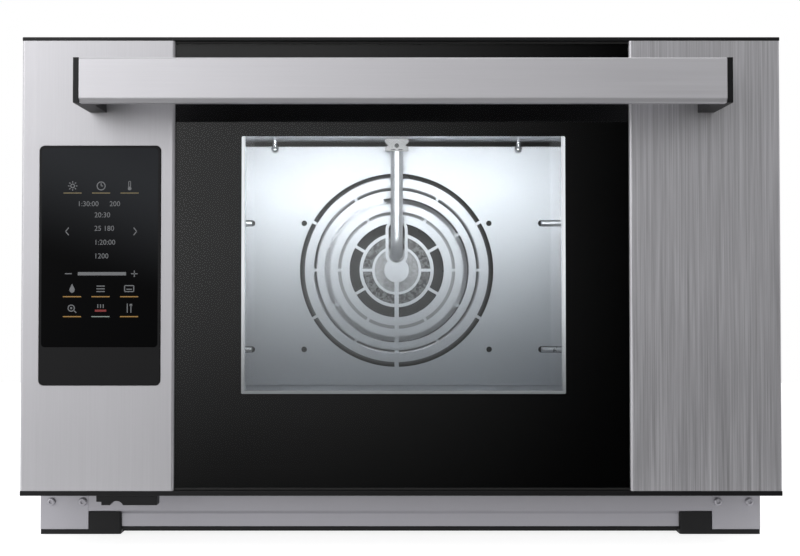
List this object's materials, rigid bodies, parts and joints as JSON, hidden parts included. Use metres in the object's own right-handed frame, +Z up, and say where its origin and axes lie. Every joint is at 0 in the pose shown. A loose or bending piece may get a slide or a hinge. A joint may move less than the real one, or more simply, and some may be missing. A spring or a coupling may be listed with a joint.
{
  "type": "convection oven",
  "caption": "Counter-top convection oven: drop-down glass door with a flat bar handle and a touch panel, tray racks, a fan behind a slotted guard, and a water tube.",
  "frame": {"origin": "under the middle of the whole oven's outline, on the surface it stands on", "axes": "+X to the viewer's right, -Y out of the door towards the user, +Z up"},
  "size_m": [0.6, 0.669, 0.404],
  "materials": {
    "door_steel": "vertical brush",
    "base_steel": "satin",
    "casing_steel": "satin",
    "cavity_steel": "satin",
    "guard_steel": "satin",
    "wire_steel": "polished",
    "tube_steel": "polished",
    "fan_steel": "satin",
    "zinc_steel": "dull zinc",
    "hinge_steel": "satin",
    "screw_steel": "dark",
    "element_steel": "heat darkened",
    "motor_paint": "satin",
    "handle_metal": "fine brush",
    "valve_brass": "satin",
    "clear_glass": "polished",
    "touch_glass": "gloss",
    "black_enamel": "gloss",
    "pale_light": "diffuse",
    "black_trim": "satin",
    "foot_plastic": "matte",
    "seal_rubber": "matte",
    "hose_rubber": "matte",
    "mineral_wool": "matte",
    "board_green": "satin",
    "terminal_plastic": "satin"
  },
  "bodies": {
    "body": {"base_front_rail": "base_steel", "base_rear_rail": "base_steel", "base_side_rail_left": "base_steel", "base_side_rail_right": "base_steel", "corner_plates": "base_steel", "feet": "foot_plastic", "body_screws": "screw_steel", "bottom_pan": "zinc_steel", "side_panel_left": "casing_steel", "side_panel_right": "casing_steel", "top_cover": "casing_steel", "rear_panel": "casing_steel", "front_fascia": "cavity_steel", "cavity_liner": "cavity_steel", "insulation_wrap": "mineral_wool", "door_gasket": "seal_rubber", "fan_guard": "guard_steel", "guard_hooks": "wire_steel", "water_tube": "tube_steel", "tube_clamp": "guard_steel", "rack_left": "wire_steel", "rack_right": "wire_steel", "rack_studs": "wire_steel", "temperature_probe": "tube_steel", "heating_element": "element_steel", "rear_bulkhead": "zinc_steel", "motor_body": "motor_paint", "cooling_fan_housing": "black_trim", "vent_pipe": "tube_steel", "water_valve": "valve_brass", "water_hose": "hose_rubber", "cable_gland": "black_trim", "terminal_block": "terminal_plastic", "power_board": "board_green", "hinge_bracket_left": "hinge_steel", "hinge_bracket_right": "hinge_steel", "hinge_pins": "hinge_steel"},
    "fan": {"fan_shaft": "hinge_steel", "fan_wheel": "fan_steel", "fan_nut": "hinge_steel"},
    "cooling_fan": {"cooling_fan_rotor": "black_trim"},
    "door": {"hinge_arm_left": "hinge_steel", "hinge_arm_right": "hinge_steel", "hinge_springs": "hinge_steel", "door_frame": "zinc_steel", "door_mullions": "zinc_steel", "door_outer_glass": "clear_glass", "glass_enamel": "black_enamel", "window_light_frame": "pale_light", "door_inner_glass": "clear_glass", "door_panel_left": "door_steel", "door_panel_right": "door_steel", "door_trims": "black_trim", "control_housing": "black_trim", "control_glass": "touch_glass", "control_board": "board_green", "handle_bar": "handle_metal", "handle_ends": "black_trim", "cable_guide": "black_trim", "handle_screws": "screw_steel"}
  },
  "joints": [
    {"name": "door_hinge", "type": "hinge", "parent": "body", "child": "door", "pos_m": [0, -0.2445, 0.046], "axis": [1, 0, 0], "range_deg": [0, 90], "stiffness_Nm_per_rad": 5, "springref_deg": -34.38},
    {"name": "fan_spin", "type": "hinge", "parent": "body", "child": "fan", "pos_m": [0, 0.19, 0.225], "axis": [0, 1, 0], "continuous": true},
    {"name": "cooling_fan_spin", "type": "hinge", "parent": "body", "child": "cooling_fan", "pos_m": [0.196, 0.3, 0.2998], "axis": [0, 1, 0], "continuous": true}
  ]
}
